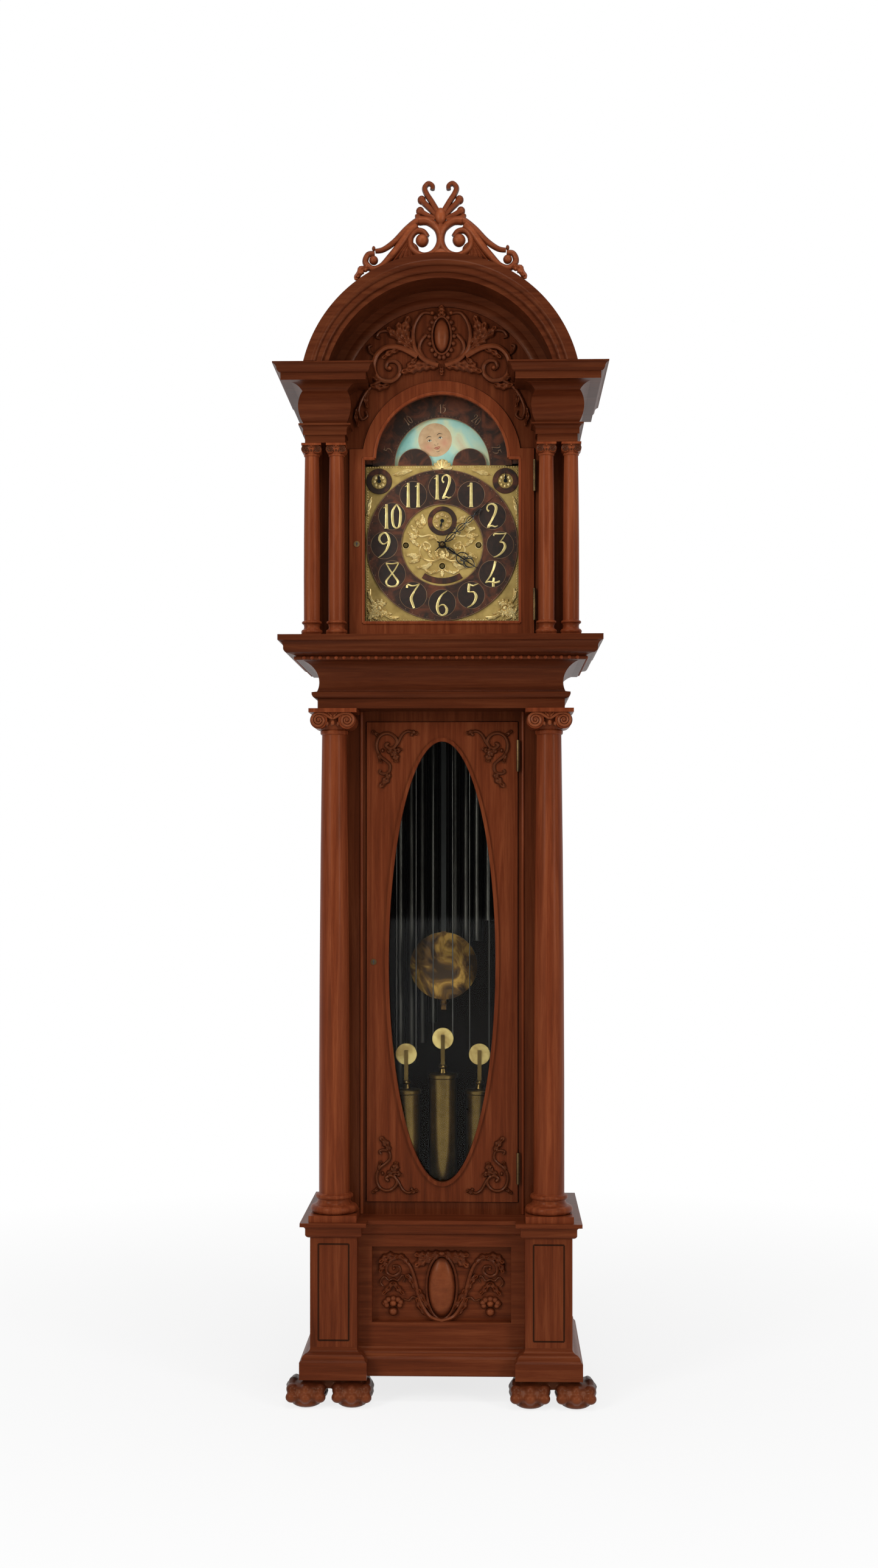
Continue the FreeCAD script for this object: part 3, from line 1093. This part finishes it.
def barrel(name):
    """A drum with flanges and great wheel on a winding arbor whose squared end stands in the dial hole."""
    spot = winding[name]
    drum_low, drum_high = front_in + d.plate_space * 0.25, rear_in - d.plate_space * 0.18
    flange = wheel_face
    return fuse(
        f"barrel_{name}_solid",
        arbor(f"barrel_{name}_arbor", spot, ring_face_y + d.ring_thick / 2, rear_out, d.winding_radius),
        arbor(f"barrel_{name}_drum", spot, drum_low, drum_high, d.barrel_radius),
        arbor(f"barrel_{name}_front_flange", spot, drum_low - flange, drum_low, d.barrel_flange),
        arbor(f"barrel_{name}_rear_flange", spot, drum_high, drum_high + flange, d.barrel_flange),
        gear(f"barrel_{name}_great", GREAT_TEETH, d.great_radius / (GREAT_TEETH / 2 + TOOTH_RISE), wheel_face * 1.5,
             spot[0], front_in + wheel_face, spot[1], 0))


for name in winding:
    publish(barrel(name), f"{name}_barrel")

# Anchor, crutch and pendulum
crutch_z = level("crutch_z", anchor_z - d.crutch_drop)
crutch_y = rear_out + d.plate_thick * 1.5
span_x = d.escape_radius * 0.95
pallet_drop = d.anchor_rise - d.seconds_rise
anchor_plate = padded("anchor_arms", "XZ_Plane", [[
    (ZERO, d.arbor_radius * 2), (-span_x * 1.2, -pallet_drop * 0.42), (-span_x * 1.1, -pallet_drop * 0.62),
    (-span_x, -pallet_drop * 0.6), (-span_x * 0.85, -pallet_drop * 0.36), (ZERO, -pallet_drop * 0.22),
    (span_x * 0.85, -pallet_drop * 0.36), (span_x, -pallet_drop * 0.6), (span_x * 1.1, -pallet_drop * 0.62),
    (span_x * 1.2, -pallet_drop * 0.42)]], wheel_face, y=escape_layer, z=anchor_z)
fork_gap = d.rod_width / 2 + d.hand_fit * 1.6
fork_wide = fork_gap + d.arbor_radius
fork_z = (crutch_z - d.plate_thick, crutch_z + d.plate_thick)
fork_back = pendulum_y + d.rod_thick
publish(fuse(
    "anchor_solid", anchor_plate, arbor("anchor_arbor", (ZERO, anchor_z), front_out, crutch_y + wheel_face),
    box("crutch_stem", (-d.arbor_radius, d.arbor_radius), (crutch_y, crutch_y + wheel_face),
        (crutch_z, anchor_z)),
    box("crutch_bar", (-fork_wide, fork_wide), (crutch_y, crutch_y + wheel_face), fork_z),
    *both_sides(lambda sign, hand_name: box(f"crutch_fork_{hand_name}", span(sign, fork_gap, fork_wide),
                                            (crutch_y, fork_back), fork_z))), "anchor")

block_half = d.plate_thick
cheek_gap = d.air_gap
bob_z = level("bob_z", hang_z - d.pendulum_length)
block = (pendulum_y - block_half, pendulum_y + block_half)
rod_foot = bob_z - d.bob_radius * 1.3
bob_half = d.bob_thick / 2
pendulum_top = cut("pendulum_block", box("pendulum_chop", (-d.rod_width / 2, d.rod_width / 2), block,
                                         (hang_z - d.rod_width * 1.4, hang_z + d.rod_width / 2)),
                   arbor("pendulum_bore", (ZERO, hang_z), block[0], block[1], d.arbor_radius + d.pivot_fit))
bob = turned("pendulum_bob", [
    (ZERO, -bob_half), (d.bob_radius, -bob_half * 0.16, bob_half * 0.3), (d.bob_radius, bob_half * 0.16),
    (ZERO, bob_half, bob_half * 0.3)], ZERO, pendulum_y, bob_z, ALONG_Y)
publish(fuse(
    "pendulum_solid", pendulum_top, bob,
    box("pendulum_rod", (-d.rod_width / 2, d.rod_width / 2),
        (pendulum_y - d.rod_thick / 2, pendulum_y + d.rod_thick / 2), (rod_foot, hang_z - d.rod_width)),
    rod("rating_nut", d.rod_width * 0.7, d.rod_width * 0.7, ZERO, pendulum_y,
        bob_z - d.bob_radius - d.rod_width)),
    "pendulum")

# Weights on their pulleys, each hung in a loop of cable
cable_foot = {"left": d.side_pulley, "centre": d.centre_pulley, "right": d.side_pulley}
weight_spot = {"left": -d.weight_x, "centre": ZERO, "right": d.weight_x}
barrel_side = {"left": -1, "centre": 1, "right": 1}
hang_y = d.weight_back
cheek_near, cheek_far = d.pulley_radius * 0.3, d.pulley_radius * 0.4
strap_half = d.weight_radius * 0.14


def weight(name):
    """A brass-cased weight with rims, neck and a stirrup that carries the pulley axle."""
    x, axle_z = weight_spot[name], cable_foot[name]
    r, rim, drop = d.weight_radius, d.weight_rim, d.hook_length
    low = -drop - d.weight_length
    lip = rim - r
    body = turned(f"weight_{name}_body", [
        (ZERO, low), (r, low), (rim, low + lip), (rim, low + lip * 4),
        (r, low + lip * 5), (r, -drop - lip * 5),
        (rim, -drop - lip * 4), (rim, -drop - lip), (r, -drop), (r * 0.3, -drop + lip),
        (r * 0.22, -drop * 0.86), (r * 0.34, -drop * 0.8, lip * 0.5),
        (r * 0.15, -drop * 0.7), (ZERO, -drop * 0.7)],
        x, hang_y, axle_z)
    strap = [box(f"weight_{name}_cheek_{number}", (x - strap_half, x + strap_half), side,
                 (axle_z - drop * 0.74, axle_z + strap_half * 2))
             for number, side in enumerate(((hang_y - cheek_far, hang_y - cheek_near),
                                            (hang_y + cheek_near, hang_y + cheek_far)))]
    bridge = box(f"weight_{name}_bridge", (x - strap_half, x + strap_half),
                 (hang_y - cheek_far, hang_y + cheek_far),
                 (axle_z - drop * 0.74, axle_z - drop * 0.66))
    axle = rod(f"weight_{name}_axle", d.arbor_radius, cheek_far * 2, x, hang_y - cheek_far, axle_z, ALONG_Y)
    return fuse(f"weight_{name}", body, *strap, bridge, axle)


def pulley(name):
    """A grooved sheave that runs on the stirrup's axle."""
    half = d.pulley_radius * 0.25
    groove = d.cable_radius * 1.6
    bore = d.arbor_radius + d.pivot_fit
    return turned(f"pulley_{name}_sheave", [
        (bore, -half), (d.pulley_radius, -half), (d.pulley_radius, -groove), (d.groove_radius, -groove * 0.8),
        (d.groove_radius, groove * 0.8), (d.pulley_radius, groove), (d.pulley_radius, half), (bore, half)],
        weight_spot[name], hang_y, cable_foot[name], ALONG_Y)


def cable(name):
    """The loop of one cable: down from the seat board, round under the pulley and up again."""
    x, axle_z = weight_spot[name], cable_foot[name]
    turn = doc.addObject("Part::Torus", f"cable_{name}_turn")
    tie(turn, "Radius1", d.cable_turn)
    tie(turn, "Radius2", d.cable_radius)
    turn.Angle3 = 180
    place(turn, x, hang_y, axle_z, ALONG_Y)
    runs = [rod(f"cable_{name}_run_{side + 1}", d.cable_radius, seat_foot - axle_z, x + d.cable_turn * side,
                hang_y,
                axle_z) for side in (-1, 1)]
    return fuse(f"cable_{name}_loop", turn, *runs)


def cable_top(name):
    """The last stretch of one cable, from the seat board up to the side of its drum."""
    side = barrel_side[name]
    foot_x = weight_spot[name] + d.cable_turn * side
    head_x = winding[name][0] + (d.barrel_radius + d.cable_radius + d.air_gap) * side
    rise, lean = winding[name][1] - seat_foot, head_x - foot_x
    way = Rotation(Vector(0, 0, 1), Vector(lean.value, 0, rise.value))
    return rod(f"cable_{name}_top", d.cable_radius, root(rise * rise + lean * lean), foot_x, hang_y,
               seat_foot, way)


for name in winding:
    publish(weight(name), f"{name}_weight")
    publish(pulley(name), f"{name}_pulley")
    publish(cable(name), f"{name}_cable")

# Seat board, plates and what is fixed to them
cable_slots = [rod(f"seat_slot_{name}", d.cable_turn * 0.4, d.seat_thick,
                   weight_spot[name] + d.cable_turn * barrel_side[name], hang_y,
                   seat_foot) for name in winding]
publish(cut("seat", box("seat_plank", inside, (-d.seat_front, -d.seat_front + d.seat_depth),
                        (seat_foot, seat_top)),
            *cable_slots), "seat_board")
plates = group("plate_pair", *[box(f"plate_{name}", (-d.plate_half, d.plate_half),
                                   depth, (seat_top, plate_top))
                               for name, depth in (("front", (front_out, front_in)),
                                                   ("rear", (rear_in, rear_out)))])
bearings = [arbor(f"bearing_{number}", spot, front_out, rear_out, d.arbor_radius + d.pivot_fit)
            for number, spot in enumerate((centre_spot, third_spot,
                                           seconds_spot, minute_spot, (ZERO, anchor_z)))]
bearings += [arbor(f"bearing_{name}", spot, front_out, rear_out, d.winding_radius + d.pivot_fit)
             for name, spot in winding.items()]
pillars = []
for sign in (-1, 1):
    for level_name, z in (("low", seat_top + d.pillar_inset), ("high", plate_top - d.pillar_inset)):
        pillars.append(arbor(f"pillar_{level_name}_{sign + 1}", ((d.plate_half - d.pillar_inset) * sign, z),
                             front_in,
                             rear_in, d.pillar_radius))
    for level_name, rise in (("low", d.dial_foot_low), ("high", d.dial_foot_high)):
        pillars.append(arbor(f"dial_foot_{level_name}_{sign + 1}", (d.dial_foot_x * sign, seat_top + rise),
                             dial_back,
                             front_out, d.dial_foot_radius))
cock_back = block[1] + cheek_gap + d.plate_thick * 1.5
cock_half = d.rod_width * 0.9
cock = fuse(
    "cock",
    box("cock_foot", (-cock_half, cock_half), (rear_out, rear_out + d.plate_thick),
        (anchor_z + d.rod_width, hang_z + d.rod_width * 1.4)),
    box("cock_front", (-cock_half, cock_half), (rear_out, block[0] - cheek_gap),
        (hang_z - d.rod_width * 0.6, hang_z + d.rod_width * 1.4)),
    box("cock_rear", (-cock_half, cock_half), (block[1] + cheek_gap, cock_back),
        (hang_z - d.rod_width * 0.6, hang_z + d.rod_width * 1.4)),
    box("cock_bridge", (-cock_half, cock_half), (rear_out, cock_back),
        (hang_z + d.rod_width * 0.8, hang_z + d.rod_width * 1.4)),
    arbor("cock_pin", (ZERO, hang_z), rear_out, cock_back))
publish(group("movement", cut("plates", plates, *bearings), *pillars, cock,
              *[cable_top(name) for name in winding]),
        "movement_frame")

# Tubular bells on their rack, with the hammer row in front
bell_tops = d.tube_top
rack_foot = bell_tops + d.tube_radius * 0.8
rack_head = rack_foot + d.seat_thick * 0.7
rack_front = d.tube_back - d.tube_radius * 1.4
hammer_y = rack_front - d.tube_radius
hammer_z = rack_head + d.hammer_rise * 0.6
tube_total = DIMENSIONS["tube_count"]
tube_x = [d.tube_pitch * (number - (tube_total - 1) / 2) for number in range(tube_total)]
rack_half = d.tube_pitch * ((tube_total - 1) / 2) + d.tube_pitch
cheek_wide = d.plate_thick * 1.5
bells = []
hangers = []
hammers = [rod("hammer_arbor", d.arbor_radius, rack_half * 2, -rack_half, hammer_y, hammer_z, ALONG_X)]
hammer_foot = bell_tops - d.hammer_rise * 0.5
for number, x in enumerate(tube_x):
    length = d.tube_long - d.tube_step * number
    outer = rod(f"tube_{number}_wall", d.tube_radius, length, x, d.tube_back, bell_tops - length)
    bore = rod(f"tube_{number}_bore", d.tube_radius - d.tube_wall, length - d.tube_wall * 4, x, d.tube_back,
               bell_tops - length)
    bells.append(cut(f"tube_{number}", outer, bore))
    hangers.append(rod(f"hanger_{number}", d.cable_radius, rack_foot - bell_tops, x, d.tube_back, bell_tops))
    hammers.append(box(f"hammer_{number}_lever", (x - d.cable_radius, x + d.cable_radius),
                       (hammer_y - d.cable_radius, hammer_y + d.cable_radius), (hammer_foot, hammer_z)))
    hammers.append(rod(f"hammer_{number}_head", d.tube_radius * 0.6, d.tube_radius, x,
                       hammer_y - d.tube_radius * 0.4, hammer_foot, ALONG_Y))
rack = fuse(
    "rack_solid", box("rack_shelf", (-rack_half, rack_half), (rack_front, back_inner),
                      (rack_foot, rack_head)),
    *both_sides(lambda sign, hand_name: cut(
        f"rack_cheek_{hand_name}_bored",
        box(f"rack_cheek_{hand_name}", span(sign, rack_half - cheek_wide, rack_half),
            (hammer_y - d.tube_radius, rack_front + d.tube_radius), (rack_head, hammer_z + d.tube_radius)),
        rod(f"rack_cheek_{hand_name}_bore", d.arbor_radius + d.pivot_fit, rack_half * 2, -rack_half, hammer_y,
            hammer_z, ALONG_X))), *hangers)
publish(rack, "chime_rack")
publish(group("bells", *bells), "chime_tubes")
publish(fuse("hammer_row", *hammers), "chime_hammers")


doc.recompute()
faults = [item.Label for item in doc.Objects if "Invalid" in item.State or "Error" in item.State]
faults += [item.Label for item in nodes if item.Shape.isNull() or not item.Shape.isValid()]
if faults:
    raise RuntimeError("not built: " + ", ".join(faults))
os.makedirs("parts", exist_ok=True)
for item in nodes:
    item.Shape.exportStep(f"parts/{item.Label}.step")
    bounds = item.Shape.BoundBox
    print(f"{item.Label}: {len(item.Shape.Solids)} solids, {item.Shape.Volume / 1000:.1f} cm3, "
          f"x {bounds.XMin:.1f}..{bounds.XMax:.1f} y {bounds.YMin:.1f}..{bounds.YMax:.1f} "
          f"z {bounds.ZMin:.1f}..{bounds.ZMax:.1f}")
